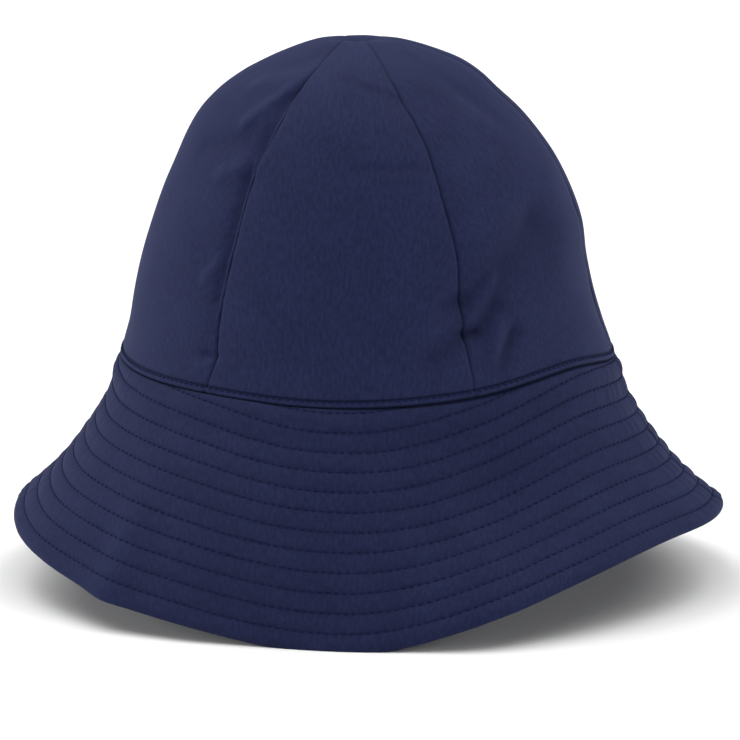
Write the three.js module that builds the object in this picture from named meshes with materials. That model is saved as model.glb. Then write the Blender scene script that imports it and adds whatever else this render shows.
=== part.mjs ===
import * as THREE from "three";

// A six-panel sun hat with a quilted brim, in millimetres, +Z up, standing on its brim edge.
// The front faces -Y. An azimuth is in degrees round the hat, 0 at the front and 90 at +X.

// Driving dimensions
const weltRadius = 86; // outside of the crown where its folded hem meets the brim
const weltHeight = 77; // that hem above the surface the hat stands on
const crownWall = 1.2;
const brimWall = 2.4;
const pieceGap = 0.3;
const rowPitch = 6.6; // from one quilting row to the next
const rimBand = 5.6; // from the last quilting row to the folded edge
const rowRelief = 0.7; // how far a quilted band stands above its stitch rows
const brimTuck = 4.4; // how far the brim runs up inside the crown's hem
const hemStandOff = 0.6; // clearance of the hem over the brim, on top of the crown's wall
const seamDent = 0.9; // how far the cloth dips into a crown seam
const seamDentReach = 2.4; // distance from a seam at which the dip has mostly faded
const hemHold = { from: 4.6, to: 14 }; // heights between which the hem stops holding the cloth round
const weltBlend = 45; // height over which the crown takes up the hem's own waviness, above the held part

// Mesh divisions
const panelStations = [0, 0.05, 0.18, 0.34, 0.5, 0.66, 0.82, 0.95, 1];
const brimStep = 7.5; // degrees between the brim's radial sections
const bandsBelowWelt = 8; // whole quilted bands on even the narrowest part of the brim
const ringsAboveBands = 6; // rings in what is left between those bands and the hem
const curveSteps = 48;

// The crown's sections: height above the hem, radius, sideways lean of the section's centre,
// and how far the middle of a panel puffs out between its seams
const crownSections = [
  { up: 4.6, radius: 84.9, lean: 0, puff: 0 },
  { up: 12, radius: 82.7, lean: -0.4, puff: 0.2 },
  { up: 24, radius: 79.8, lean: -1.2, puff: 0.4 },
  { up: 36, radius: 77, lean: -1.1, puff: 0.6 },
  { up: 48, radius: 74.3, lean: -0.2, puff: 0.6 },
  { up: 60, radius: 70.2, lean: -0.1, puff: 0.6 },
  { up: 70, radius: 65.6, lean: -0.4, puff: 0.6 },
  { up: 79, radius: 60.5, lean: -1.6, puff: 0.6 },
  { up: 86.6, radius: 55.1, lean: -2.6, puff: 0.6 },
  { up: 93.2, radius: 48.5, lean: -3.2, puff: 0.7 },
  { up: 98.8, radius: 41.8, lean: -2.6, puff: 0.8 },
  { up: 103.3, radius: 34.1, lean: -1.8, puff: 1 },
  { up: 106.6, radius: 26.2, lean: -2.1, puff: 1.2 },
  { up: 109.2, radius: 18.4, lean: -2.6, puff: 1.4 },
  { up: 110.6, radius: 12.4, lean: -3.1, puff: 1.2 },
  { up: 110.4, radius: 7.6, lean: -3.5, puff: 0.7 },
  { up: 109.4, radius: 4, lean: -3.8, puff: 0.3 },
  { up: 108.6, radius: 1.6, lean: -3.9, puff: 0 },
];

// The folded hem under the crown: height above its lower edge, and how far it stands proud
const hemSections = [
  { up: 0, proud: 0.5 },
  { up: 1.6, proud: 1 },
  { up: 3, proud: -0.1 },
];

// Where the two front seams run, as degrees either side of the front. The back seams are even.
const seamPaths = [
  { up: 0, left: 32.2, right: 31.4 },
  { up: 11, left: 30.3, right: 31.5 },
  { up: 30, left: 30, right: 31.8 },
  { up: 44, left: 29.4, right: 31 },
  { up: 64, left: 28.5, right: 28.4 },
  { up: 72, left: 27.4, right: 27.9 },
  { up: 80, left: 24.6, right: 27.9 },
  { up: 88, left: 21.6, right: 26.8 },
  { up: 97, left: 19.9, right: 24 },
  { up: 103, left: 20, right: 20.2 },
  { up: 112, left: 21, right: 19.4 },
];

// Soft folds and dents of the crown, each a straight valley from one end to the other
const crownFolds = [
  { fromAzimuth: 35, fromUp: 32, toAzimuth: 57, toUp: 54, reach: 6, depth: 2 },
  { fromAzimuth: 36, fromUp: 21, toAzimuth: 43, toUp: 29, reach: 3.5, depth: 1.4 },
  { fromAzimuth: 39, fromUp: 9, toAzimuth: 45, toUp: 19, reach: 3, depth: 0.9 },
  { fromAzimuth: 22, fromUp: 14, toAzimuth: 31, toUp: 22.5, reach: 4.5, depth: 1.4 },
  { fromAzimuth: -40, fromUp: 12, toAzimuth: -30, toUp: 11.5, reach: 3.5, depth: 0.9 },
  { fromAzimuth: 48, fromUp: 103, toAzimuth: 60, toUp: 89, reach: 5, depth: 0.9 },
];

// The brim's radial sections, evenly spaced round the hat: lift of the hem there, width of
// the brim, and its slope in degrees below level at the hem, at a third, at two thirds and at
// the edge
const brimSections = [
  { azimuth: 0, lift: -2.8, width: 81.9, hem: 51, upper: 66, lower: 75, rim: 72 },
  { azimuth: 30, lift: -0.5, width: 75.4, hem: 80, upper: 78, lower: 42, rim: 52.5 },
  { azimuth: 60, lift: 4.6, width: 68.8, hem: 80, upper: 68.5, lower: 41, rim: 39 },
  { azimuth: 90, lift: 1.1, width: 66.6, hem: 64, upper: 58.5, lower: 45, rim: 34.5 },
  { azimuth: 120, lift: 1, width: 71.3, hem: 65, upper: 63, lower: 51, rim: 40 },
  { azimuth: 150, lift: -1.4, width: 77.2, hem: 68, upper: 65, lower: 60.5, rim: 53 },
  { azimuth: 180, lift: -3, width: 81.1, hem: 71, upper: 68, lower: 67, rim: 65 },
  { azimuth: 210, lift: -1.4, width: 77.2, hem: 70, upper: 65, lower: 60, rim: 53 },
  { azimuth: 240, lift: 1, width: 71.2, hem: 71, upper: 60, lower: 49, rim: 40 },
  { azimuth: 270, lift: 2, width: 67.3, hem: 68.5, upper: 59.5, lower: 47, rim: 38 },
  { azimuth: 300, lift: 0, width: 71, hem: 58, upper: 56.5, lower: 53, rim: 50.5 },
  { azimuth: 330, lift: -1.2, width: 76.1, hem: 50.5, upper: 66, lower: 66.5, rim: 64.5 },
];
const sectionSpacing = 30;

// Soft radial waves of the brim, fullest at its edge
const brimWaves = [
  { azimuth: -39, halfWidth: 5, out: 1.6 },
  { azimuth: -33, halfWidth: 13, out: 2 },
  { azimuth: -12, halfWidth: 11, out: -1.4 },
  { azimuth: 15, halfWidth: 9, out: -1 },
  { azimuth: 28, halfWidth: 9, out: 2.2 },
  { azimuth: 76, halfWidth: 9, out: 1 },
];

const cloth = { color: 0x2b3150, roughness: 0.78, metalness: 0 };

const radians = THREE.MathUtils.degToRad;
const clamp = THREE.MathUtils.clamp;
const lerp = THREE.MathUtils.lerp;

// Smooth curve through four evenly spaced values, between the middle two
function smoothBetween(a, b, c, d, t) {
  return b + 0.5 * t * (c - a + t * (2 * a - 5 * b + 4 * c - d + t * (3 * (b - c) + d - a)));
}

// Value of a table's column at a fractional row
function columnAt(rows, column, place) {
  const row = clamp(Math.floor(place), 0, rows.length - 2);
  const value = (i) => rows[clamp(i, 0, rows.length - 1)][column];
  return smoothBetween(value(row - 1), value(row), value(row + 1), value(row + 2), place - row);
}

// Straight-line reading of a table by height
function readByHeight(rows, column, up) {
  const next = rows.findIndex((row) => row.up > up);
  if (next === 0) return rows[0][column];
  if (next < 0) return rows[rows.length - 1][column];
  const below = rows[next - 1];
  const t = (up - below.up) / (rows[next].up - below.up);
  return lerp(below[column], rows[next][column], t);
}

// Value of a column of the brim's table at any azimuth
function brimColumn(column, azimuth) {
  const place = azimuth / sectionSpacing;
  const first = Math.floor(place);
  const value = (i) => brimSections[THREE.MathUtils.euclideanModulo(i, brimSections.length)][column];
  return smoothBetween(value(first - 1), value(first), value(first + 1), value(first + 2), place - first);
}

// The wave of the brim at an azimuth, as a distance at its edge. Only the front is waved.
function waveAt(azimuth) {
  return brimWaves.reduce((sum, wave) => {
    const away = (azimuth - wave.azimuth) / wave.halfWidth;
    return sum + wave.out * Math.exp(-away * away);
  }, 0);
}

// A brim section from the hem to the edge as fine points with the distance walked
const brimCurves = new Map();
function brimCurve(azimuth) {
  const key = azimuth.toFixed(4);
  if (brimCurves.has(key)) return brimCurves.get(key);
  const width = brimColumn("width", azimuth);
  const slopes = ["hem", "upper", "lower", "rim"].map((column) => ({
    slope: brimColumn(column, azimuth),
  }));
  slopes.unshift({ slope: 2 * slopes[0].slope - slopes[1].slope });
  slopes.push({ slope: 2 * slopes[4].slope - slopes[3].slope });
  const wave = waveAt(azimuth);
  const points = [{ walked: 0, radius: weltRadius - crownWall - hemStandOff, down: 0 }];
  for (let i = 1; i <= curveSteps; i++) {
    const middle = (i - 0.5) / curveSteps;
    const slope = radians(columnAt(slopes, "slope", 1 + 3 * middle));
    const step = width / curveSteps;
    const last = points[i - 1];
    points.push({
      walked: last.walked + step,
      radius: last.radius + step * Math.cos(slope),
      down: last.down + step * Math.sin(slope),
    });
  }
  points.forEach((point) => {
    const share = point.walked / width;
    point.radius += wave * share * share;
  });
  const curve = { width, points };
  brimCurves.set(key, curve);
  return curve;
}

function around(azimuth, radius, height, lean = 0) {
  const angle = radians(azimuth);
  return new THREE.Vector3(lean + radius * Math.sin(angle), -radius * Math.cos(angle), height);
}

// A point of the brim's upper face, a distance in from its edge. Past the hem it climbs
// inside the crown.
function brimPoint(azimuth, fromEdge) {
  const { width, points } = brimCurve(azimuth);
  const walked = width - fromEdge;
  const hemHeight = weltHeight + brimColumn("lift", azimuth);
  if (walked < 0) {
    const inside = crownRadius(-walked) - crownWall - hemStandOff;
    return around(azimuth, inside, hemHeight - walked);
  }
  const place = clamp((walked / width) * curveSteps, 0, curveSteps);
  const row = Math.min(Math.floor(place), curveSteps - 1);
  const radius = lerp(points[row].radius, points[row + 1].radius, place - row);
  const down = lerp(points[row].down, points[row + 1].down, place - row);
  return around(azimuth, radius, hemHeight - down);
}

// Height of the quilted surface above its stitch rows
function quiltRelief(fromEdge) {
  if (fromEdge < rimBand) return rowRelief * Math.sin((Math.PI * fromEdge) / rimBand);
  return rowRelief * Math.abs(Math.sin((Math.PI * (fromEdge - rimBand)) / rowPitch));
}

// Radius of the lowest stretch of the crown, before the first of its sections
function crownRadius(up) {
  const first = crownSections[0];
  return lerp(weltRadius, first.radius, clamp(up / first.up, 0, 1));
}

// The six seams in order round the hat. Each gives its azimuth at a height.
const seams = [
  (up) => -readByHeight(seamPaths, "left", up),
  (up) => readByHeight(seamPaths, "right", up),
  () => 90,
  () => 150,
  () => 210,
  () => 270,
];

// Distance that the crown's folds push its surface in at a place
function foldDepth(azimuth, up, radius) {
  const perDegree = radians(1) * radius;
  return crownFolds.reduce((sum, fold) => {
    const along = new THREE.Line3(
      new THREE.Vector3(fold.fromAzimuth * perDegree, fold.fromUp, 0),
      new THREE.Vector3(fold.toAzimuth * perDegree, fold.toUp, 0),
    );
    const here = new THREE.Vector3(azimuth * perDegree, up, 0);
    const nearest = along.closestPointToPoint(here, true, new THREE.Vector3());
    const away = nearest.distanceTo(here) / fold.reach;
    return sum + fold.depth * Math.exp(-away * away);
  }, 0);
}

// A point of the crown's outer face: panel, share of the way across it, and a section
function crownPoint(panel, across, section) {
  const { up, radius, lean, puff, proud } = section;
  const start = seams[panel](up);
  const end = seams[(panel + 1) % 6](up) + (panel === 5 ? 360 : 0);
  const azimuth = lerp(start, end, across);
  const fromSeam = Math.min(across, 1 - across) * radians(end - start) * radius;
  const loose = THREE.MathUtils.smoothstep(up, hemHold.from, hemHold.to);
  const dip = seamDent * Math.exp(-((fromSeam / seamDentReach) ** 2));
  const fade = clamp(1 - (up - hemHold.from) / weltBlend, 0, 1) ** 2;
  const signed = azimuth > 180 ? azimuth - 360 : azimuth;
  const inward = loose * (dip + foldDepth(signed, up, radius));
  const outward = puff * Math.sin(Math.PI * across) - inward + proud;
  const height = weltHeight + up + brimColumn("lift", azimuth) * fade;
  return around(azimuth, radius + outward, height, lean);
}

// A closed shell from a grid of outer points and the matching grid of inner points
function shellGeometry(outer, inner) {
  const rows = outer.length;
  const columns = outer[0].length;
  const positions = [];
  [outer, inner].forEach((grid) => grid.flat().forEach((p) => positions.push(p.x, p.y, p.z)));
  const at = (side, row, column) => side * rows * columns + row * columns + column;
  const faces = [];
  const quad = (a, b, c, d) => faces.push(a, b, c, a, c, d);
  for (let r = 0; r < rows - 1; r++) {
    for (let c = 0; c < columns - 1; c++) {
      quad(at(0, r, c), at(0, r, c + 1), at(0, r + 1, c + 1), at(0, r + 1, c));
      quad(at(1, r, c), at(1, r + 1, c), at(1, r + 1, c + 1), at(1, r, c + 1));
    }
  }
  const border = [];
  for (let c = 0; c < columns - 1; c++) border.push([0, c]);
  for (let r = 0; r < rows - 1; r++) border.push([r, columns - 1]);
  for (let c = columns - 1; c > 0; c--) border.push([rows - 1, c]);
  for (let r = rows - 1; r > 0; r--) border.push([r, 0]);
  border.forEach(([r, c], i) => {
    const [nextRow, nextColumn] = border[(i + 1) % border.length];
    quad(at(0, nextRow, nextColumn), at(0, r, c), at(1, r, c), at(1, nextRow, nextColumn));
  });
  const geometry = new THREE.BufferGeometry();
  geometry.setAttribute("position", new THREE.Float32BufferAttribute(positions, 3));
  geometry.setIndex(faces);
  geometry.computeVertexNormals();
  return geometry;
}

// Outward normals of a grid of points whose rows rise and whose columns run anticlockwise.
// The first and last columns only guide their neighbours, and get none.
function gridNormals(grid) {
  const rows = grid.length;
  return grid.map((line, r) =>
    line.slice(1, -1).map((_, i) => {
      const above = grid[Math.min(r + 1, rows - 1)][i + 1];
      const below = grid[Math.max(r - 1, 0)][i + 1];
      const across = new THREE.Vector3().subVectors(line[i + 2], line[i]);
      return across.cross(new THREE.Vector3().subVectors(above, below)).normalize();
    }),
  );
}

const withoutGuides = (grid) => grid.map((line) => line.slice(1, -1));

const offsetGrid = (grid, normals, distance) =>
  grid.map((line, r) => line.map((p, c) => p.clone().addScaledVector(normals[r][c], distance(r, c))));

// One crown panel, from its hem to the apex, cut back by half the gap at each seam
function crownPanel(panel) {
  const first = crownSections[0];
  const sections = [
    ...hemSections.map(({ up, proud }) => ({ ...first, up, proud, radius: crownRadius(up) })),
    ...crownSections.map((section) => ({ ...section, proud: 0 })),
  ];
  const grid = (withHem) =>
    sections.map((section) => {
      const trim = pieceGap / 2 / (radians(60) * section.radius);
      return [-panelStations[1], ...panelStations, 1 + panelStations[1]].map((across) => {
        const place = lerp(trim, 1 - trim, across);
        return crownPoint(panel, place, { ...section, proud: withHem ? section.proud : 0 });
      });
    });
  const plain = grid(false);
  const inner = offsetGrid(withoutGuides(plain), gridNormals(plain), () => -crownWall);
  return shellGeometry(withoutGuides(grid(true)), inner);
}

// Half of the brim between its side seams, with its quilted bands and its flattened edge
function brimHalf(startAzimuth) {
  const trim = THREE.MathUtils.radToDeg(pieceGap / 2 / weltRadius);
  const columns = Math.round(180 / brimStep);
  const azimuths = Array.from({ length: columns + 3 }, (_, i) =>
    lerp(startAzimuth + trim, startAzimuth + 180 - trim, (i - 1) / columns),
  );
  const bandFoot = rimBand + (bandsBelowWelt - 1) * rowPitch;
  const distancesAt = (azimuth) => {
    const width = brimColumn("width", azimuth);
    const distances = [0, rimBand / 2, rimBand];
    for (let band = 1; band < bandsBelowWelt; band++) {
      distances.push(rimBand + (band - 0.5) * rowPitch, rimBand + band * rowPitch);
    }
    for (let ring = 1; ring <= ringsAboveBands; ring++) {
      distances.push(lerp(bandFoot, width, ring / ringsAboveBands));
    }
    distances.push(width + brimTuck);
    return distances;
  };
  const distances = azimuths.map(distancesAt);
  const grid = distances[0].map((_, r) => azimuths.map((azimuth, c) => brimPoint(azimuth, distances[c][r])));
  const normals = gridNormals(grid);
  const plain = withoutGuides(grid);
  const firstFlatRing = grid.length - 2;
  const outer = offsetGrid(plain, normals, (r, c) => {
    if (r === 0 || r >= firstFlatRing) return 0;
    return quiltRelief(distances[c + 1][r]) - rowRelief / 2;
  });
  const inner = offsetGrid(plain, normals, () => -brimWall);
  [outer, inner].forEach((points) => points.flat().forEach((p) => (p.z = Math.max(p.z, 0))));
  return shellGeometry(outer, inner);
}

function piece(name, geometry) {
  const mesh = new THREE.Mesh(geometry, new THREE.MeshStandardMaterial(cloth));
  mesh.name = name;
  return mesh;
}

const hat = new THREE.Group();
const panelNames = ["front", "front_right", "back_right", "back", "back_left", "front_left"];
panelNames.forEach((name, panel) => hat.add(piece(`crown_${name}`, crownPanel(panel))));
hat.add(piece("brim_front", brimHalf(-90)));
hat.add(piece("brim_back", brimHalf(90)));

export default hat;
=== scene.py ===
import math

import bpy
import numpy as np
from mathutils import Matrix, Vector


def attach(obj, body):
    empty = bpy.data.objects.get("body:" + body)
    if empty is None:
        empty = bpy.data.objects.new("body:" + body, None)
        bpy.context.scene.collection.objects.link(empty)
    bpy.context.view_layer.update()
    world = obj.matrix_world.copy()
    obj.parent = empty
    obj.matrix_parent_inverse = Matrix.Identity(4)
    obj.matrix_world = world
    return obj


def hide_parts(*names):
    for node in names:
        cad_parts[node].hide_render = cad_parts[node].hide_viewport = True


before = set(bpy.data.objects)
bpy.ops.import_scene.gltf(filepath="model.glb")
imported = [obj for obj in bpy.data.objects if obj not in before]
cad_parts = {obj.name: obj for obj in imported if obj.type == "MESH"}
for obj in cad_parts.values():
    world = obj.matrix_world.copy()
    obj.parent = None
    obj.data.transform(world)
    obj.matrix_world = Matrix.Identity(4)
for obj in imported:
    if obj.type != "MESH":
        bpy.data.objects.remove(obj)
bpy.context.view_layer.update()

# Lengths are millimetres until a mesh is written in metres. An azimuth is in degrees round
# the hat, 0 at the front (-Y) and 90 at +X.
MM = 0.001
WELT_RADIUS = 86.0
WELT_HEIGHT = 77.0
CROWN_WALL = 1.2
BRIM_WALL = 2.4
ROW_PITCH = 6.6
RIM_BAND = 5.6
BRIM_TUCK = 4.4
HEM_STAND_OFF = 0.6
WELT_BLEND = 45.0
HEM_HELD_TO = 4.6

CROWN_SECTIONS = [
    {"up": 0, "radius": 86, "lean": 0, "puff": 0},
    {"up": 4.6, "radius": 84.9, "lean": 0, "puff": 0},
    {"up": 12, "radius": 82.7, "lean": -0.4, "puff": 0.2},
    {"up": 24, "radius": 79.8, "lean": -1.2, "puff": 0.4},
    {"up": 36, "radius": 77, "lean": -1.1, "puff": 0.6},
    {"up": 48, "radius": 74.3, "lean": -0.2, "puff": 0.6},
    {"up": 60, "radius": 70.2, "lean": -0.1, "puff": 0.6},
    {"up": 70, "radius": 65.6, "lean": -0.4, "puff": 0.6},
    {"up": 79, "radius": 60.5, "lean": -1.6, "puff": 0.6},
    {"up": 86.6, "radius": 55.1, "lean": -2.6, "puff": 0.6},
    {"up": 93.2, "radius": 48.5, "lean": -3.2, "puff": 0.7},
    {"up": 98.8, "radius": 41.8, "lean": -2.6, "puff": 0.8},
    {"up": 103.3, "radius": 34.1, "lean": -1.8, "puff": 1},
    {"up": 106.6, "radius": 26.2, "lean": -2.1, "puff": 1.2},
    {"up": 109.2, "radius": 18.4, "lean": -2.6, "puff": 1.4},
    {"up": 110.6, "radius": 12.4, "lean": -3.1, "puff": 1.2},
    {"up": 110.4, "radius": 7.6, "lean": -3.5, "puff": 0.7},
    {"up": 109.4, "radius": 4, "lean": -3.8, "puff": 0.3},
    {"up": 108.6, "radius": 0.7, "lean": -3.9, "puff": 0},
]

# Where the two front seams run, as degrees either side of the front
SEAM_PATHS = [
    {"up": 0, "left": 32.2, "right": 31.4},
    {"up": 11, "left": 30.3, "right": 31.5},
    {"up": 30, "left": 30, "right": 31.8},
    {"up": 44, "left": 29.4, "right": 31},
    {"up": 64, "left": 28.5, "right": 28.4},
    {"up": 72, "left": 27.4, "right": 27.9},
    {"up": 80, "left": 24.6, "right": 27.9},
    {"up": 88, "left": 21.6, "right": 26.8},
    {"up": 97, "left": 19.9, "right": 24},
    {"up": 103, "left": 20, "right": 20.2},
    {"up": 112, "left": 21, "right": 19.4},
]

# Folds of the crown. Each end is an azimuth and a height above the hem. Seen along the fold, the
# cloth falls within near on the left and comes back within far on the right. A negative depth is
# a ridge. Shade is painted shade, how much darker the cloth's colour is made at its deepest, or a
# painted highlight, paler, where it is negative. Rows with no depth are painted shade alone.
CROWN_FOLDS = [
    {"from": (35, 31.4), "to": (55.5, 52), "near": 6, "far": 11, "depth": 2.8, "shade": 0.27},
    {"from": (33.6, 25.6), "to": (40.3, 35.6), "near": 2.2, "far": 2.2, "depth": -1.9, "shade": -0.15},
    {"from": (35.4, 19.8), "to": (41, 26.8), "near": 2.4, "far": 3.6, "depth": 2, "shade": 0.28},
    {"from": (32, 22.6), "to": (34.2, 23), "near": 1, "far": 1, "depth": -0.7, "shade": -0.1},
    {"from": (31.9, 19.6), "to": (35, 20.2), "near": 1.2, "far": 1.4, "depth": 1.1, "shade": 0.28},
    {"from": (37, 11), "to": (41, 21.5), "near": 2, "far": 2, "depth": -1, "shade": -0.1},
    {"from": (39.2, 8.2), "to": (44.6, 17.6), "near": 2, "far": 2.4, "depth": 2.1, "shade": 0.33},
    {"from": (22.2, 13.4), "to": (31.1, 20), "near": 3, "far": 4.6, "depth": 2, "shade": 0.26},
    {"from": (27, 30), "to": (31.5, 31), "near": 2, "far": 3, "depth": 1, "shade": 0.25},
    {"from": (-33.4, 12.6), "to": (-30.2, 11.8), "near": 1.2, "far": 2.4, "depth": 1.6, "shade": 0},
    {"from": (-32, 13.2), "to": (-30.4, 12.9), "near": 0.9, "far": 0.9, "depth": 0, "shade": 0.3},
    {"from": (-34.6, 8.8), "to": (-31, 10.4), "near": 1.7, "far": 2, "depth": -1.6, "shade": -0.2},
    {"from": (-31, 31), "to": (-29.4, 70), "near": 2.8, "far": 0.6, "depth": 1.1, "shade": 0.24},
    {"from": (-27.2, 75), "to": (-21.3, 94), "near": 3.4, "far": 0.6, "depth": 1.3, "shade": 0.22},
    {"from": (-36, 37), "to": (-32.5, 42), "near": 1.8, "far": 3, "depth": -0.8, "shade": -0.05},
    {"from": (-44, 98.5), "to": (-25, 102.3), "near": 2.4, "far": 3, "depth": -1.3, "shade": -0.12},
    {"from": (-35.2, 87.4), "to": (-24.2, 97.4), "near": 2.5, "far": 2.5, "depth": -1.5, "shade": -0.12},
    {"from": (-60, 101), "to": (-30, 105.5), "near": 3, "far": 3, "depth": 0.8, "shade": 0.1},
    {"from": (-39, 70.3), "to": (-28.5, 74), "near": 2.5, "far": 3, "depth": -1.2, "shade": -0.12},
    {"from": (-52, 77), "to": (-34, 81), "near": 3, "far": 4, "depth": 0.9, "shade": 0.08},
    {"from": (2, 100.5), "to": (23, 95), "near": 1.2, "far": 2.2, "depth": 0.6, "shade": 0.15},
    {"from": (4.2, 73.6), "to": (25.4, 74), "near": 1.2, "far": 2.4, "depth": 0.45, "shade": 0.12},
    {"from": (61, 89), "to": (47, 104), "near": 4, "far": 4, "depth": 1.2, "shade": 0.12},
    {"from": (58, 14), "to": (63, 44), "near": 12, "far": 12, "depth": 0, "shade": 0.12},
]
FOLD_END = 1.6  # how far a fold runs out past its ends, in widths of its near side

BRIM_SECTIONS = [
    {"azimuth": 0, "lift": -2.8, "width": 81.9, "hem": 51, "upper": 66, "lower": 75, "rim": 72},
    {"azimuth": 30, "lift": -0.5, "width": 75.4, "hem": 80, "upper": 78, "lower": 42, "rim": 52.5},
    {"azimuth": 60, "lift": 4.6, "width": 68.8, "hem": 80, "upper": 68.5, "lower": 41, "rim": 39},
    {"azimuth": 90, "lift": 1.1, "width": 66.6, "hem": 64, "upper": 58.5, "lower": 45, "rim": 34.5},
    {"azimuth": 120, "lift": 1, "width": 71.3, "hem": 65, "upper": 63, "lower": 51, "rim": 40},
    {"azimuth": 150, "lift": -1.4, "width": 77.2, "hem": 68, "upper": 65, "lower": 60.5, "rim": 53},
    {"azimuth": 180, "lift": -3, "width": 81.1, "hem": 71, "upper": 68, "lower": 67, "rim": 65},
    {"azimuth": 210, "lift": -1.4, "width": 77.2, "hem": 70, "upper": 65, "lower": 60, "rim": 53},
    {"azimuth": 240, "lift": 1, "width": 71.2, "hem": 71, "upper": 60, "lower": 49, "rim": 40},
    {"azimuth": 270, "lift": 2, "width": 67.3, "hem": 68.5, "upper": 59.5, "lower": 47, "rim": 38},
    {"azimuth": 300, "lift": 0, "width": 71, "hem": 58, "upper": 56.5, "lower": 53, "rim": 50.5},
    {"azimuth": 330, "lift": -1.2, "width": 76.1, "hem": 50.5, "upper": 66, "lower": 66.5, "rim": 64.5},
]
SECTION_SPACING = 30

BRIM_WAVES = [
    {"azimuth": -39, "half_width": 5, "out": 1.6},
    {"azimuth": -33, "half_width": 13, "out": 2},
    {"azimuth": -12, "half_width": 11, "out": -1.4},
    {"azimuth": 15, "half_width": 9, "out": -1},
    {"azimuth": 28, "half_width": 9, "out": 2.2},
    {"azimuth": 76, "half_width": 9, "out": 1},
]

# How far the stitch rows stray inward from even spacing, at azimuths from back round to back
ROW_DRIFT = [
    {"azimuth": -180, "inward": 0.3},
    {"azimuth": -90, "inward": 0.4},
    {"azimuth": -60, "inward": 0.3},
    {"azimuth": -38, "inward": 1.1},
    {"azimuth": -20, "inward": 0.9},
    {"azimuth": 0, "inward": 1.4},
    {"azimuth": 22, "inward": 0.5},
    {"azimuth": 38, "inward": 0.6},
    {"azimuth": 60, "inward": 0.3},
    {"azimuth": 90, "inward": -0.2},
    {"azimuth": 180, "inward": 0.3},
]

# Mesh divisions
FRONT_COLUMNS = 109
BACK_COLUMNS = 61
FRONT_PANELS = (0, 1, 5)
HEM_RING_PITCH = 0.17
HEM_RINGS_TO = 3.4
CROWN_RINGS_FROM = 3.6
CROWN_RINGS = 116
BRIM_COLUMNS = 252
EVEN_RINGS = 92
EVEN_ROWS = 7  # quilted rows that the even rings cover
CLOSING_RINGS = 61

# Stitches
STITCH_PITCH = 2.75
STITCH_LENGTH = 1.85
STITCH_ARCH = 0.3
STITCH_SUNK = 0.14
HEM_PITCH = 2.45
THREAD_RADIUS = 0.29
UNDER_THREAD_RADIUS = 0.2
UNDER_SHIFT = 1.2  # the lower stitches lie between the upper ones
ROW_SEED = 140
QUILT_ROWS = 13
ROW_HIDDEN = 0.8  # a row closer than this to the brim's start isn't sewn
ROW_POINTS = 700
HEM_POINTS = 160

# The crown's seams and folded hem
SEAM_DEPTH = 0.65
SEAM_REACH = 0.7
# The SHADE values darken the cloth's colour as painted shade in the seams, the hem's groove and under
# the hem.
SEAM_SHADE = 0.3
SEAM_SHADE_REACH = 0.35
SEAM_SAG = 0.35
SEAM_SAG_REACH = 4
PANEL_GAP = 0.1
HEM_STITCH_UP = 2.6
HEM_EDGE_UP = 0.75  # lower edge of the folded hem, above the brim's own start
HEM_ROLL_UP = 1.5
HEM_ROLL = 0.5
HEM_ROLL_REACH = 0.9
HEM_GROOVE = 0.45
HEM_GROOVE_REACH = 0.5
HEM_GROOVE_SHADE = 0.5
HEM_EDGE_SHADE = 0.8

# The brim's quilting, side seams and edges
PUFF = 0.65
INNER_PUFF = 0.35
GROOVE = 0.3  # flat strip either side of a stitch row
EDGE_START = 0.9  # first ring of the brim's mesh, before its edge is rolled over
EDGE_SINK = 0.35  # how far the sewn rows lie below the plain brim
HEM_FILL = 1.9  # how far the brim swells outward just below the crown's hem
SIDE_SEAM_DEPTH = 0.7
SIDE_SEAM_REACH = 0.9
# painted shade along the brim's side seams
SIDE_SEAM_SHADE = 0.7
SIDE_SEAM_SHADE_REACH = 0.5
SIDE_SEAM_GAP = 0.1
BEND = 0.9
BEND_AZIMUTH = -39
BEND_REACH = 3.2  # degrees
BEND_FULL_TO = 12  # from the brim's edge
BEND_GONE_BY = 55
# painted highlight along the ridge of the front left bend
BEND_PAINTED_HIGHLIGHT = 0.12
PALEST = -0.3  # limit of the painted shading, where it is a painted highlight on a lit ridge

# Unevenness of the cloth: how high, how long its waves are, and the seed of their draw
CROWN_SOFT = {"high": 0.22, "long": 34, "seed": 11}
SEAM_PUCKER = {"high": 0.1, "long": 6.5, "seed": 31}
BRIM_SOFT = {"high": 0.18, "long": 30, "seed": 8}
ROW_PUCKER = {"high": 0.05, "long": 4.6, "seed": 5}
SEAM_PUCKER_REACH = 5
SIDE_PUCKER = 0.2  # what the row puckers gain near the brim's side seams
SIDE_PUCKER_REACH = 16.0  # degrees
BAND_SHIFT = 37.0  # keeps the puckers of neighbouring bands apart

# Mean radii, for lengths round the hat from degrees
CROWN_GIRTH_RADIUS = 70
BRIM_GIRTH_RADIUS = 105

# Curves and tables


def smoothstep(value, low, high):
    t = np.clip((value - low) / (high - low), 0, 1)
    return t * t * (3 - 2 * t)


def falloff(distance, reach):
    """1 at no distance, falling away smoothly by about twice the reach."""
    return np.exp(-((distance / reach) ** 2))


def smooth_between(a, b, c, d, t):
    """Curve through four evenly spaced values, between the middle two."""
    return b + 0.5 * t * (c - a + t * (2 * a - 5 * b + 4 * c - d + t * (3 * (b - c) + d - a)))


def along_rows(values, place):
    values = np.asarray(values, float)
    last = len(values) - 1
    row = np.clip(np.floor(place).astype(int), 0, last - 1)
    a, b, c, d = (values[np.clip(row + i, 0, last)] for i in (-1, 0, 1, 2))
    return smooth_between(a, b, c, d, place - row)


def column(rows, name):
    return [row[name] for row in rows]


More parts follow.
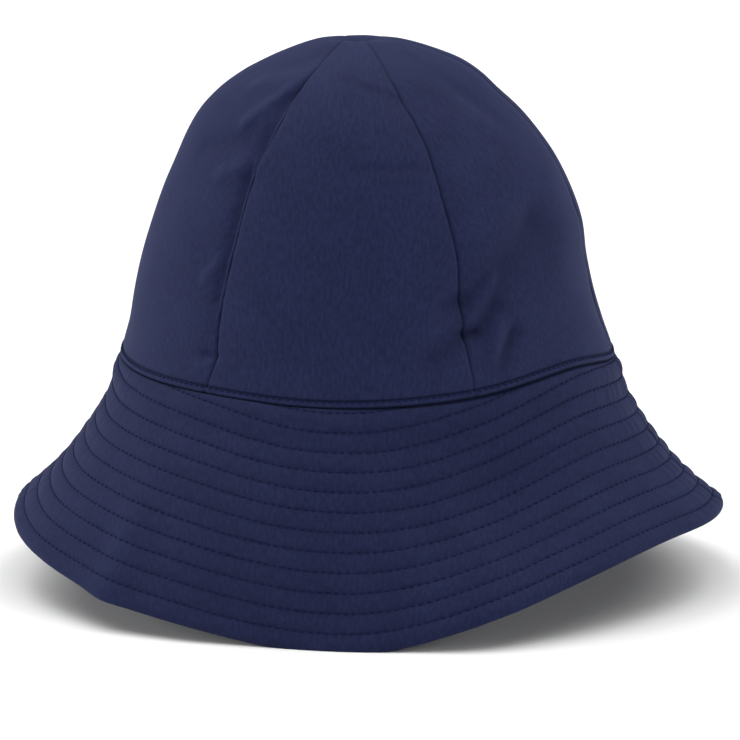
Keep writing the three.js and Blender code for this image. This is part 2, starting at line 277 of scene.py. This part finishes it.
def round_hat(name, azimuth):
    """A column of the brim's table at any azimuth."""
    ring = np.array(column(BRIM_SECTIONS, name), float)
    place = azimuth / SECTION_SPACING
    first = np.floor(place).astype(int)
    a, b, c, d = (ring[(first + i) % len(ring)] for i in (-1, 0, 1, 2))
    return smooth_between(a, b, c, d, place - first)


def around(azimuth, radius, height, lean=0.0):
    angle = np.radians(azimuth)
    x = lean + radius * np.sin(angle)
    return np.stack(np.broadcast_arrays(x, -radius * np.cos(angle), height), -1)


def cloth_ripple(x, y, kind, more_seed=0, waves=9):
    """Even, soft unevenness made of a few slanting waves, about -1 to 1."""
    draw = np.random.default_rng(kind["seed"] + more_seed)
    total = np.zeros(np.broadcast(x, y).shape)
    for _ in range(waves):
        heading = draw.uniform(0, math.pi)
        number = 2 * math.pi / (kind["long"] * draw.uniform(0.7, 1.6))
        phase = draw.uniform(0, 2 * math.pi)
        total += np.sin(number * (x * math.cos(heading) + y * math.sin(heading)) + phase)
    return total / math.sqrt(waves * 2)


# Crown


def hem_radius(up):
    """Radius of the crown's straight hem, between the first two rows of its table."""
    hem_top = CROWN_SECTIONS[1]
    share = np.clip(up / hem_top["up"], 0, 1)
    return WELT_RADIUS + (hem_top["radius"] - WELT_RADIUS) * share


def seam_azimuth(index, up):
    """Where a seam runs. The two front seams follow their table, the others stand upright."""
    if index == 0:
        return -np.interp(up, column(SEAM_PATHS, "up"), column(SEAM_PATHS, "left"))
    if index == 1:
        return np.interp(up, column(SEAM_PATHS, "up"), column(SEAM_PATHS, "right"))
    if index == 6:
        return 360 + seam_azimuth(0, up)
    return np.full_like(up, 60.0 * index - 30)


def crown_folds(azimuth, up, radius):
    """How deep the crown's cloth is folded in at a place, and the shade painted there, or a painted
    highlight where it is negative.
    """
    per_degree = np.radians(1) * radius
    depth, shade = 0, 0
    for fold in CROWN_FOLDS:
        ax, ay = fold["from"][0] * per_degree, fold["from"][1]
        bx, by = fold["to"][0] * per_degree - ax, fold["to"][1] - ay
        px, py = azimuth * per_degree - ax, up - ay
        length = np.hypot(bx, by)
        along = (px * bx + py * by) / length
        right = (px * by - py * bx) / length
        beyond = (along - np.clip(along, 0, length)) / (FOLD_END * fold["near"])
        away = right / np.where(right > 0, fold["far"], fold["near"])
        share = np.exp(-beyond * beyond - away * away)
        depth = depth + fold["depth"] * share
        shade = shade + fold["shade"] * share
    return depth, shade


def hem_roll(up):
    """The folded hem stands proud below its row of stitches."""
    roll = HEM_ROLL * np.sqrt(np.clip(1 - ((up - HEM_ROLL_UP) / HEM_ROLL_REACH) ** 2, 0, 1))
    return roll - HEM_GROOVE * falloff(up - HEM_STITCH_UP, HEM_GROOVE_REACH)


def crown_grid(panel, across, place, relief):
    """Points of one panel, their place in the cloth and the shading painted on them.

    across is a share of the panel's width, place a row of the crown's table. Without relief the
    panel has its seams and folds, but not the hem's roll or the cloth's unevenness."""
    across = across[None, :]
    up, radius, lean, puff = (
        along_rows(column(CROWN_SECTIONS, name), place)[:, None]
        for name in ("up", "radius", "lean", "puff")
    )
    up = np.maximum(up, 0)
    start = seam_azimuth(panel, up)
    end = seam_azimuth(panel + 1, up)
    azimuth = start + (end - start) * across
    width = np.radians(end - start) * radius
    from_seam = np.minimum(across, 1 - across) * width
    loose = smoothstep(up, HEM_HELD_TO, 14)
    signed = np.where(azimuth > 180, azimuth - 360, azimuth)
    top_fade = smoothstep(radius, 2, 14)
    depth = 0.4 + 0.6 * top_fade
    sag = SEAM_SAG * falloff(from_seam, SEAM_SAG_REACH) * depth
    seam = SEAM_DEPTH * falloff(from_seam, SEAM_REACH) * (0.5 + 0.5 * loose) * depth
    folds, shade = crown_folds(signed, up, radius)
    inward = loose * (sag + folds) + seam
    outward = puff * np.sin(np.pi * np.clip(across, 0, 1)) - inward
    if relief:
        girth = np.radians(azimuth) * CROWN_GIRTH_RADIUS
        soft = CROWN_SOFT["high"] * cloth_ripple(girth, up, CROWN_SOFT, panel)
        tight = SEAM_PUCKER["high"] * cloth_ripple(girth * 0.5, up, SEAM_PUCKER, panel)
        tight = tight * falloff(from_seam, SEAM_PUCKER_REACH)
        outward = outward + loose * top_fade * (soft + tight) + hem_roll(up)
    fade = np.clip(1 - (up - HEM_HELD_TO) / WELT_BLEND, 0, 1) ** 2
    height = WELT_HEIGHT + up + round_hat("lift", azimuth) * fade
    points = around(azimuth, radius + outward, height, lean)
    # Painted shade: darker colour from the folds, along the seams, in the hem's stitch groove and under
    # the hem's lower edge; painted highlights where the folds' shade is negative.
    painted_shading = shade + SEAM_SHADE * falloff(from_seam, SEAM_SHADE_REACH) * (0.5 + 0.5 * top_fade)
    painted_shading = painted_shading + HEM_GROOVE_SHADE * falloff(up - HEM_STITCH_UP, HEM_GROOVE_REACH)
    painted_shading = painted_shading + HEM_EDGE_SHADE * (1 - smoothstep(up, HEM_EDGE_UP, HEM_EDGE_UP + 0.3))
    return points, up, width * (across - 0.5), np.clip(painted_shading, PALEST, 1)


def crown_places():
    """Rows for a panel's mesh: close together in the hem, then evenly spaced up to the top."""
    fine = np.linspace(0, len(CROWN_SECTIONS) - 1, 2000)
    up = along_rows(column(CROWN_SECTIONS, "up"), fine)
    radius = along_rows(column(CROWN_SECTIONS, "radius"), fine)
    walked = np.concatenate([[0], np.cumsum(np.hypot(np.diff(up), np.diff(radius)))])
    hem = np.arange(HEM_EDGE_UP, HEM_RINGS_TO, HEM_RING_PITCH)
    rest = np.linspace(CROWN_RINGS_FROM, walked[-1], CROWN_RINGS)
    return np.interp(np.concatenate([hem, rest]), walked, fine)


# Brim

BRIM_STEPS = 160  # steps that the brim's section is walked in, from the hem to the edge
CUT_RADIUS = 225  # outer radius of the flat piece a brim half is cut from
CUT_TURN = 0.52  # its angle for each degree round the hat


def brim_waves(azimuth):
    wave = np.zeros_like(azimuth)
    for row in BRIM_WAVES:
        wave += row["out"] * falloff(azimuth - row["azimuth"], row["half_width"])
    return wave


def brim_grid(azimuth, from_edge):
    """Points of the brim's upper face. azimuth is one value a column, from_edge one a point."""
    width = round_hat("width", azimuth)
    slopes = [round_hat(name, azimuth) for name in ("hem", "upper", "lower", "rim")]
    slopes = [2 * slopes[0] - slopes[1], *slopes, 2 * slopes[3] - slopes[2]]
    middles = 3 * (np.arange(BRIM_STEPS) + 0.5) / BRIM_STEPS
    station = np.floor(middles).astype(int)
    stack = np.array(slopes)
    slope = smooth_between(
        *(stack[station + i] for i in range(4)), (middles - station)[:, None]
    )
    step = width / BRIM_STEPS
    zero = np.zeros((1, len(azimuth)))
    run = np.concatenate([zero, np.cumsum(np.cos(np.radians(slope)) * step, 0)])
    down = np.concatenate([zero, np.cumsum(np.sin(np.radians(slope)) * step, 0)])
    share = np.linspace(0, 1, BRIM_STEPS + 1)[:, None]
    run = run + WELT_RADIUS - CROWN_WALL - HEM_STAND_OFF + brim_waves(azimuth) * share**2

    walked = width - from_edge
    place = np.clip(walked / width, 0, 1) * BRIM_STEPS
    row = np.minimum(np.floor(place).astype(int), BRIM_STEPS - 1)
    columns = np.broadcast_to(np.arange(len(azimuth)), row.shape)
    t = place - row
    radius = run[row, columns] * (1 - t) + run[row + 1, columns] * t
    drop = down[row, columns] * (1 - t) + down[row + 1, columns] * t
    inside = np.maximum(-walked, 0)
    tucked = hem_radius(inside) - CROWN_WALL - HEM_STAND_OFF
    radius = np.where(walked < 0, tucked, radius)
    height = WELT_HEIGHT + round_hat("lift", azimuth) - drop + inside
    return around(azimuth, radius, height)


def row_drift(azimuth):
    """How far the stitch rows stray inward here from even spacing."""
    signed = (azimuth + 180) % 360 - 180
    return np.interp(signed, column(ROW_DRIFT, "azimuth"), column(ROW_DRIFT, "inward"))


def band_share(from_edge):
    """How far across its quilted band a point lies, 0 and 1 on the stitch rows."""
    inner = ((from_edge - RIM_BAND) / ROW_PITCH) % 1.0
    return np.where(from_edge < RIM_BAND, np.clip(from_edge / RIM_BAND, 0, 1), inner)


# Meshes


def grid_normals(grid):
    across = np.gradient(grid, axis=1)
    upward = np.gradient(grid, axis=0)
    normal = np.cross(across, upward)
    return normal / np.maximum(np.linalg.norm(normal, axis=-1, keepdims=True), 1e-9)


def border_of(rows, columns):
    """The outermost places of a grid, in one loop."""
    return (
        [(0, c) for c in range(columns - 1)]
        + [(r, columns - 1) for r in range(rows - 1)]
        + [(rows - 1, c) for c in range(columns - 1, 0, -1)]
        + [(r, 0) for r in range(rows - 1, 0, -1)]
    )


def write_mesh(name, points, faces, cloth=None):
    """A smooth mesh. cloth holds each point's place in the flat cloth and the shading painted on it:
    painted shade, or a painted highlight below zero.
    """
    mesh = bpy.data.meshes.new(name)
    mesh.from_pydata((points * MM).tolist(), [], faces)
    if cloth is not None:
        layer = mesh.attributes.new("cloth", "FLOAT_VECTOR", "POINT")
        layer.data.foreach_set("vector", np.ascontiguousarray(cloth[:, :3], np.float32).ravel())
        layer = mesh.attributes.new("painted_shading", "FLOAT", "POINT")
        layer.data.foreach_set("value", np.ascontiguousarray(cloth[:, 3], np.float32))
    mesh.polygons.foreach_set("use_smooth", np.ones(len(mesh.polygons), bool))
    mesh.update()
    piece = bpy.data.objects.new(name, mesh)
    bpy.context.scene.collection.objects.link(piece)
    return piece


def cloth_shell(name, outer, inner, cloth, roundness, turns):
    """A sheet with two faces whose border is rolled over in a number of turns."""
    rows, columns = outer.shape[:2]
    count = rows * columns
    index = np.arange(count).reshape(rows, columns)
    face_a = np.stack([index[:-1, :-1], index[:-1, 1:], index[1:, 1:], index[1:, :-1]], -1)
    face_b = face_a[..., ::-1] + count
    faces = face_a.reshape(-1, 4).tolist() + face_b.reshape(-1, 4).tolist()
    border = border_of(rows, columns)
    r = np.array([place[0] for place in border])
    c = np.array([place[1] for place in border])
    away = np.zeros((len(border), 3))
    sides = [
        (r == 0, 1, 0),
        (r == rows - 1, -1, 0),
        (c == 0, 0, 1),
        (c == columns - 1, 0, -1),
    ]
    for near, row_step, column_step in sides:
        push = outer[r[near], c[near]] - outer[r[near] + row_step, c[near] + column_step]
        away[near] += push / np.linalg.norm(push, axis=-1, keepdims=True)
    away /= np.linalg.norm(away, axis=-1, keepdims=True)
    top, under = outer[r, c], inner[r, c]
    middle, half = (top + under) / 2, (top - under) / 2
    bulge = np.linalg.norm(half, axis=-1, keepdims=True) * roundness
    rings = [index[r, c]]
    extra = []
    for turn in range(1, turns):
        angle = math.pi * turn / turns
        extra.append(middle + half * math.cos(angle) + away * bulge * math.sin(angle))
        rings.append(2 * count + (turn - 1) * len(border) + np.arange(len(border)))
    rings.append(index[r, c] + count)
    for first, second in zip(rings[:-1], rings[1:]):
        ahead_first, ahead_second = np.roll(first, -1), np.roll(second, -1)
        faces += np.stack([ahead_first, first, second, ahead_second], -1).tolist()
    points = np.concatenate([outer.reshape(-1, 3), inner.reshape(-1, 3), *extra])
    points[:, 2] = np.maximum(points[:, 2], 0)  # nothing sinks into the table
    cloth = cloth.reshape(-1, 4)
    rim_cloth = cloth[index[r, c]]
    cloth = np.concatenate([cloth, cloth, *[rim_cloth] * (turns - 1)])
    return write_mesh(name, points, faces, cloth)


def crown_panel(name, panel):
    """One panel, its edges turned into the seams and its hem folded."""
    even = np.linspace(0, 1, FRONT_COLUMNS if panel in FRONT_PANELS else BACK_COLUMNS)
    stations = 0.45 * even + 0.55 * (0.5 - 0.5 * np.cos(np.pi * even))
    guides = np.concatenate([[-stations[1]], stations, [1 + stations[1]]])
    place = crown_places()
    radius = along_rows(column(CROWN_SECTIONS, "radius"), place)
    trim = PANEL_GAP / np.radians(60) / radius
    outer, up, across, painted_shading = crown_grid(panel, guides, place, True)
    plain = crown_grid(panel, guides, place, False)[0]
    inner = plain - grid_normals(plain) * CROWN_WALL
    squeeze = trim[:, None, None] * (guides[None, :, None] - 0.5) * 2
    for grid in (outer, inner):
        grid -= np.gradient(grid, guides, axis=1) * squeeze
    apart = np.full_like(across, panel * 40.0)
    cloth = np.stack([across, np.broadcast_to(up, across.shape), apart, painted_shading], -1)
    inside = (slice(None), slice(1, -1))
    return cloth_shell(name, outer[inside], inner[inside], cloth[inside], roundness=0.5, turns=4)


def brim_distances(azimuth):
    """Rings of the brim's mesh, even near the edge and closing up towards the hem."""
    even_to = RIM_BAND + EVEN_ROWS * ROW_PITCH
    even = np.linspace(EDGE_START, even_to, EVEN_RINGS)[:, None]
    even = np.broadcast_to(even, (EVEN_RINGS, len(azimuth)))
    rest = np.linspace(0, 1, CLOSING_RINGS + 1)[1:, None]
    reach = round_hat("width", azimuth) + BRIM_TUCK
    return np.concatenate([even, even_to + rest * (reach - even_to)])


def brim_bend(azimuth, from_edge):
    """How far a place shares in the soft bend at the brim's front left corner."""
    near_edge = 1 - smoothstep(from_edge, BEND_FULL_TO, BEND_GONE_BY)
    return falloff(azimuth - BEND_AZIMUTH, BEND_REACH) * near_edge


def brim_relief(azimuth, from_edge):
    """Quilted bands, their puckers and the cloth's own unevenness, above the plain brim."""
    sewn = from_edge - row_drift(azimuth)
    share = band_share(sewn)
    inset = GROOVE / ROW_PITCH
    puffed = np.sin(np.pi * np.clip((share - inset) / (1 - 2 * inset), 0, 1)) ** 0.5
    girth = np.radians(azimuth) * BRIM_GIRTH_RADIUS
    band = np.floor((sewn - RIM_BAND) / ROW_PITCH)
    pucker = cloth_ripple(girth + band * BAND_SHIFT, np.zeros_like(from_edge), ROW_PUCKER)
    side = falloff(np.abs((azimuth % 180) - 90), SIDE_PUCKER_REACH)
    soft = BRIM_SOFT["high"] * cloth_ripple(girth, from_edge, BRIM_SOFT)
    walked = round_hat("width", azimuth) - from_edge
    clear = smoothstep(walked, -0.5, 2.5)
    relief = PUFF * puffed + puffed * pucker * (ROW_PUCKER["high"] + SIDE_PUCKER * side) + soft
    seam = np.abs(((azimuth + 90) % 180 + 90) % 180 - 90) * np.radians(1) * BRIM_GIRTH_RADIUS
    dip = SIDE_SEAM_DEPTH * falloff(seam, SIDE_SEAM_REACH)
    edge = smoothstep(from_edge, 0.8, 2.2)
    under_hem = HEM_FILL * smoothstep(walked, -0.3, 1.3) * (1 - smoothstep(walked, 4, 14))
    bend = BEND * brim_bend(azimuth, from_edge)
    return clear * edge * (relief - dip) + under_hem + bend - EDGE_SINK


def straight_grain(azimuth, from_edge):
    """Place in the flat piece a brim half is cut from, its grain upright in the middle."""
    cut_radius = CUT_RADIUS - from_edge
    cut_angle = np.radians(azimuth * CUT_TURN)
    return cut_radius * np.sin(cut_angle), cut_radius * np.cos(cut_angle)


def brim_half(name, start):
    """Half the brim, from one side seam round to the other."""
    azimuth = np.linspace(start, start + 180, BRIM_COLUMNS)
    step = azimuth[1] - azimuth[0]
    azimuth = np.concatenate([[azimuth[0] - step], azimuth, [azimuth[-1] + step]])
    from_edge = brim_distances(azimuth)
    grid = brim_grid(azimuth, from_edge)
    normal = grid_normals(grid)
    outer = grid + normal * brim_relief(azimuth, from_edge)[..., None]
    under_puff = np.sin(np.pi * band_share(from_edge))[..., None] ** 0.6
    inner = grid - normal * (BRIM_WALL - INNER_PUFF * under_puff)
    inside = (slice(None), slice(1, -1))
    across, along = straight_grain(azimuth - start - 90, from_edge)
    walked = round_hat("width", azimuth) - from_edge
    from_end = np.minimum(azimuth - start, start + 180 - azimuth) * np.radians(1) * BRIM_GIRTH_RADIUS
    # Painted shade in the cleft under the crown's hem and along the side seams, and a painted highlight
    # on the front left bend.
    painted_shading = 1 - smoothstep(walked, -0.3, 0.3) + SIDE_SEAM_SHADE * falloff(from_end, SIDE_SEAM_SHADE_REACH)
    painted_shading = painted_shading - BEND_PAINTED_HIGHLIGHT * brim_bend(azimuth, from_edge)
    sewn = from_edge - row_drift(azimuth)
    cloth = np.stack([across, along, sewn, np.clip(painted_shading, PALEST, 1)], -1)[inside]
    outer, inner = outer[inside], inner[inside]
    for points in (outer, inner):
        points[..., 1] -= SIDE_SEAM_GAP * np.sign(math.cos(math.radians(start + 90)))
        points[..., 2] = np.maximum(points[..., 2], 0)
    return cloth_shell(name, outer, inner, cloth, roundness=1.0, turns=6)


# Stitches


def stitches_on(path, normal, sides, segments, first, radius=THREAD_RADIUS, pitch=STITCH_PITCH):
    """Short rounded stitches along a path on the cloth, as points and faces."""
    walked = np.concatenate([[0], np.cumsum(np.linalg.norm(np.diff(path, axis=0), axis=1))])
    starts = np.arange(first, walked[-1] - STITCH_LENGTH, pitch)
    t = np.linspace(0, 1, segments + 1)
    where = starts[:, None] + t[None, :] * STITCH_LENGTH

    def read(values):
        return np.stack([np.interp(where, walked, values[:, i]) for i in range(3)], -1)

    centre, out = read(path), read(normal)
    out /= np.linalg.norm(out, axis=-1, keepdims=True)
    ahead = np.gradient(centre, axis=1)
    ahead /= np.linalg.norm(ahead, axis=-1, keepdims=True)
    side = np.cross(out, ahead)
    arch = np.sin(np.pi * t) ** 0.5
    centre = centre + out * (STITCH_ARCH * arch - STITCH_SUNK)[None, :, None]
    thick = radius * (0.55 + 0.45 * arch)
    turn = 2 * math.pi * np.arange(sides) / sides
    ring = side[:, :, None, :] * np.cos(turn)[:, None] + out[:, :, None, :] * np.sin(turn)[:, None]
    points = centre[:, :, None, :] + ring * thick[None, :, None, None]
    one = (segments + 1) * sides
    body = []
    for s in range(segments):
        for k in range(sides):
            a, b = s * sides + k, s * sides + (k + 1) % sides
            body.append([a, b, b + sides, a + sides])
    caps = [list(range(sides))[::-1], list(range(segments * sides, one))]
    offsets = np.arange(len(starts))[:, None, None] * one
    faces = (np.array(body)[None] + offsets).reshape(-1, 4).tolist()
    faces += (np.array(caps)[None] + offsets).reshape(-1, sides).tolist()
    return points.reshape(-1, 3), faces


def join_runs(name, runs):
    points, faces, offset = [], [], 0
    for run_points, run_faces in runs:
        points.append(run_points)
        faces += [[i + offset for i in face] for face in run_faces]
        offset += len(run_points)
    return write_mesh(name, np.concatenate(points), faces)


def brim_stitches(name, start):
    """The quilting rows of half the brim, on its upper and lower face."""
    runs = []
    azimuth = np.linspace(start + 0.2, start + 179.8, ROW_POINTS)
    width = round_hat("width", azimuth)
    draw = np.random.default_rng(ROW_SEED + start)
    for row in range(QUILT_ROWS):
        distance = RIM_BAND + row * ROW_PITCH + row_drift(azimuth)
        shown = distance < width - ROW_HIDDEN
        if shown.sum() < 20:
            continue
        edges = np.flatnonzero(np.diff(np.concatenate([[0], shown.astype(int), [0]])))
        for low, high in zip(edges[::2], edges[1::2]):
            part = azimuth[low:high]
            if len(part) < 12:
                continue
            near = distance[low:high] + np.array([-0.4, 0.0, 0.4])[:, None]
            grid = brim_grid(part, near)
            normal = grid_normals(grid)[1]
            first = draw.uniform(0.2, STITCH_PITCH)
            top = grid[1] + normal * brim_relief(part, near)[1][:, None]
            under = grid[1] - normal * BRIM_WALL
            runs.append(stitches_on(top, normal, 6, 5, first))
            first = first + UNDER_SHIFT
            runs.append(stitches_on(under, -normal, 4, 3, first, radius=UNDER_THREAD_RADIUS))
    return join_runs(name, runs)


def hem_stitches(name):
    """The row of stitches along the crown's folded hem, panel by panel."""
    runs = []
    near = [HEM_STITCH_UP - 0.3, HEM_STITCH_UP, HEM_STITCH_UP + 0.3]
    place = np.interp(near, [0, CROWN_SECTIONS[1]["up"]], [0, 1])
    for panel in range(6):
        across = np.linspace(0.004, 0.996, HEM_POINTS)
        grid = crown_grid(panel, across, place, True)[0]
        runs.append(stitches_on(grid[1], grid_normals(grid)[1], 6, 5, 0.6, pitch=HEM_PITCH))
    return join_runs(name, runs)


# Finishes


class Field:
    """One output of a shader node. Arithmetic on it adds Math nodes."""

    def __init__(self, finish, socket):
        self.finish = finish
        self.socket = socket

    def _math(self, operation, *values):
        return self.finish.add("ShaderNodeMath", {"operation": operation}, *values)

    def __add__(self, other):
        return self._math("ADD", self, other)

    def __radd__(self, other):
        return self._math("ADD", other, self)

    def __sub__(self, other):
        return self._math("SUBTRACT", self, other)

    def __rsub__(self, other):
        return self._math("SUBTRACT", other, self)

    def __mul__(self, other):
        return self._math("MULTIPLY", self, other)

    def __rmul__(self, other):
        return self._math("MULTIPLY", other, self)

    def __truediv__(self, other):
        return self._math("DIVIDE", self, other)

    def __rtruediv__(self, other):
        return self._math("DIVIDE", other, self)

    def sine(self):
        return self._math("SINE", self)

    def size(self):
        return self._math("ABSOLUTE", self)

    def share(self):
        return self._math("FRACT", self)


class Finish:
    """A material being built."""

    def __init__(self, name):
        self.material = bpy.data.materials.new(name)
        self.material.use_nodes = True
        self.tree = self.material.node_tree
        self.tree.nodes.clear()

    def add(self, kind, settings=None, *values, output=0, **named):
        """Adds a node: its settings first, then the values or links of its sockets."""
        node = self.tree.nodes.new(kind)
        for key, value in (settings or {}).items():
            setattr(node, key, value)
        for key, value in [*enumerate(values), *((k.replace("_", " "), v) for k, v in named.items())]:
            if value is None:
                continue
            if isinstance(value, Field):
                self.tree.links.new(value.socket, node.inputs[key])
            else:
                node.inputs[key].default_value = value
        return Field(self, node.outputs[output]) if len(node.outputs) else None

    def mix_colour(self, factor, first, second):
        """Mixes two colours. A Mix node keeps its sockets for them behind five others."""
        colours = (*[None] * 5, first, second)
        return self.add("ShaderNodeMix", {"data_type": "RGBA"}, factor, *colours, output=2)

    def three_parts(self, vector):
        first = self.add("ShaderNodeSeparateXYZ", None, vector)
        return [Field(self, socket) for socket in first.socket.node.outputs]

    def noise(self, place, scale, stretch=(1, 1, 1), detail=2.0):
        stretched = self.add("ShaderNodeVectorMath", {"operation": "MULTIPLY"}, place, stretch)
        return self.add("ShaderNodeTexNoise", None, stretched, Scale=scale, Detail=detail)

    def surface(self, **named):
        """Ends the material with its shader."""
        shader = self.add("ShaderNodeBsdfPrincipled", None, **named)
        self.add("ShaderNodeOutputMaterial", None, shader)
        return self.material


NAVY_DEEP = (0.0083, 0.0115, 0.0405, 1)
NAVY_PALE = (0.0147, 0.0193, 0.062, 1)
# NAVY_LIT is the colour of painted highlights and NAVY_SHADE that of painted shade.
NAVY_LIT = (0.025, 0.032, 0.09, 1)
NAVY_SHADE = (0.0008, 0.0022, 0.014, 1)
THREAD_NAVY = (0.005, 0.0078, 0.035, 1)
THREAD_PALE = (0.0084, 0.012, 0.05, 1)
PAPER_GREY = (0.86, 0.86, 0.86, 1)
PAPER_WHITE = (0.89, 0.89, 0.89, 1)
WEAVE_PITCH = 0.42


def microfibre(name, quilted):
    """Smooth navy cloth: short upright grain, fine weave and puckers along quilting rows, with shade and
    highlights painted into its colour.
    """
    finish = Finish(name)
    place = finish.add("ShaderNodeAttribute", {"attribute_name": "cloth"}, output="Vector")
    across, along, third = finish.three_parts(place)
    painted_shading = finish.add("ShaderNodeAttribute", {"attribute_name": "painted_shading"}, output="Fac")
    flat = 0 if quilted else 1  # the third part sets panels apart, but on the brim it is a length
    grain = finish.noise(place, 1.0, (1.0, 0.38, flat), 2.0)
    mottle = finish.noise(place, 0.07, (1, 1, flat), 2.0)
    slub = finish.noise(place, 1.0, (0.45, 2.6, flat), 2.0)
    turns = 2 * math.pi / WEAVE_PITCH
    weave = (across * turns).sine() * (along * turns).sine()
    tone = (grain - 0.5) * 2.4 + (mottle - 0.5) * 0.8 - (slub - 0.5) * 0.9 + 0.5
    height = grain * 0.9 + slub * 0.4 + weave * 0.12
    if quilted:
        row = (((third - RIM_BAND) / ROW_PITCH) + 20.5).share() - 0.5
        near = finish.add("ShaderNodeClamp", None, 1 - row.size() * (ROW_PITCH / 1.6))
        gathers = finish.noise(place, 1.0, (0.75, 0.55, 0), 1.0)
        height = height + gathers * near * 2.6
        # Painted shade: the brim's colour is darker than the crown's and darker again near each stitch
        # row; over the gathers it is painted paler and darker as painted highlight and shade.
        tone = tone - 0.2 - near * 0.25 + (gathers - 0.5) * near * 2.0
        # painted shade along each stitch row's groove
        painted_groove_shade = finish.add("ShaderNodeClamp", None, 1 - row.size() * (ROW_PITCH / 0.9))
        painted_shading = painted_shading + painted_groove_shade * 0.1
    tone = finish.add("ShaderNodeClamp", None, tone)
    bump = finish.add("ShaderNodeBump", None, Strength=0.8, Distance=0.00007, Height=height)
    colour = finish.mix_colour(tone, NAVY_DEEP, NAVY_PALE)
    # Painted shade toward NAVY_SHADE; below zero, a painted highlight toward NAVY_LIT.
    colour = finish.mix_colour(painted_shading, colour, NAVY_SHADE)
    return finish.surface(
        Base_Color=finish.mix_colour(0 - painted_shading, colour, NAVY_LIT),
        Roughness=0.7 + grain * 0.16,
        Normal=bump,
        Sheen_Weight=0.055,
        Sheen_Roughness=0.5,
        Sheen_Tint=(0.46, 0.52, 1, 1),
        Specular_IOR_Level=0.09,
    )


def thread_finish(name):
    """Twisted sewing thread, a little darker than the cloth."""
    finish = Finish(name)
    place = finish.add("ShaderNodeNewGeometry", output="Position")
    twist = finish.add("ShaderNodeTexNoise", None, place, Scale=2600.0, Detail=1.0)
    bump = finish.add("ShaderNodeBump", None, Strength=0.7, Distance=0.00005, Height=twist)
    return finish.surface(
        Base_Color=finish.mix_colour(twist, THREAD_NAVY, THREAD_PALE),
        Roughness=0.6 + twist * 0.2,
        Normal=bump,
        Specular_IOR_Level=0.05,
    )


# Studio

LAMP_SPREAD = 45  # degrees across
LAMPS = [
    {"name": "left", "azimuth": -90, "lift": 8, "strength": 1},
    {"name": "front_left", "azimuth": -45, "lift": 8, "strength": 1.3},
    {"name": "right", "azimuth": 75, "lift": 8, "strength": 1.5},
    {"name": "overhead", "azimuth": 0, "lift": 80, "strength": 1.1},
    {"name": "behind_left", "azimuth": -120, "lift": 55, "strength": 1.65},
    {"name": "behind_right", "azimuth": 120, "lift": 55, "strength": 1.45},
]
SKY_STRENGTH = 0.15
FLOOR_RADIUS = 9

# The camera's distance and places are metres, its angles degrees
CAMERA_AZIMUTH = 7
CAMERA_LIFT = 9.5
CAMERA_DISTANCE = 1.3
CAMERA_CENTRE = (0, 0, 0.097)
CAMERA_AIM = (0.0009, 0, 0.0716)
CAMERA_LENS = 181.3
CAMERA_SENSOR = 36


def towards(azimuth, lift):
    """The direction from the hat to an azimuth round it and a lift above level."""
    turn, rise = math.radians(azimuth), math.radians(lift)
    return Vector((math.sin(turn) * math.cos(rise), -math.cos(turn) * math.cos(rise), math.sin(rise)))


def studio_floor():
    bpy.ops.mesh.primitive_circle_add(vertices=64, radius=FLOOR_RADIUS, fill_type="NGON")
    floor = bpy.context.object
    floor.name = "floor"
    finish = Finish("floor_paper")
    place = finish.add("ShaderNodeNewGeometry", output="Position")
    mottle = finish.add("ShaderNodeTexNoise", None, place, Scale=3.0)
    floor.data.materials.append(finish.surface(
        Base_Color=finish.mix_colour(mottle, PAPER_GREY, PAPER_WHITE),
        Roughness=0.9,
    ))


def soft_light(name, azimuth, lift, strength):
    """A broad, distant lamp at an azimuth round the hat and a lift above level, in degrees."""
    lamp = bpy.data.lights.new(name, "SUN")
    lamp.energy = strength
    lamp.angle = math.radians(LAMP_SPREAD)
    holder = bpy.data.objects.new(name, lamp)
    holder.rotation_euler = towards(azimuth, lift).to_track_quat("Z", "Y").to_euler()
    bpy.context.scene.collection.objects.link(holder)


def studio_camera():
    """A long lens, a little to the hat's side and a little above it."""
    eye = Vector(CAMERA_CENTRE) + towards(CAMERA_AZIMUTH, CAMERA_LIFT) * CAMERA_DISTANCE
    camera = bpy.data.objects.new("camera", bpy.data.cameras.new("camera"))
    camera.data.lens = CAMERA_LENS
    camera.data.sensor_width = CAMERA_SENSOR
    camera.location = eye
    camera.rotation_euler = (Vector(CAMERA_AIM) - eye).to_track_quat("-Z", "Y").to_euler()
    bpy.context.scene.collection.objects.link(camera)
    bpy.context.scene.camera = camera


def studio():
    scene = bpy.context.scene
    scene.view_settings.view_transform = "Standard"
    world = bpy.data.worlds.new("studio")
    scene.world = world
    world.use_nodes = True
    background = world.node_tree.nodes["Background"]
    background.inputs[0].default_value = (1, 1, 1, 1)
    background.inputs[1].default_value = SKY_STRENGTH
    for lamp in LAMPS:
        soft_light(**lamp)
    studio_floor()


def dress(piece, finish, slot, *nodes):
    """Gives a piece its finish and body, and hides the solids that it stands in for. Its slot is not
    used.
    """
    piece.data.materials.append(finish)
    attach(piece, "root")
    if nodes:
        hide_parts(*nodes)


studio_camera()
studio()
crown_cloth = microfibre("crown_microfibre", False)
brim_cloth = microfibre("brim_microfibre", True)
thread = thread_finish("navy_thread")
for panel, side in enumerate(("front", "front_right", "back_right", "back", "back_left", "front_left")):
    dress(crown_panel(f"cloth_crown_{side}", panel), crown_cloth, "crown_cloth", f"crown_{side}")
for side, start in (("front", -90), ("back", 90)):
    dress(brim_half(f"cloth_brim_{side}", start), brim_cloth, "brim_cloth", f"brim_{side}")
    dress(brim_stitches(f"stitches_brim_{side}", start), thread, "brim_cloth")
dress(hem_stitches("stitches_hem"), thread, "crown_cloth")
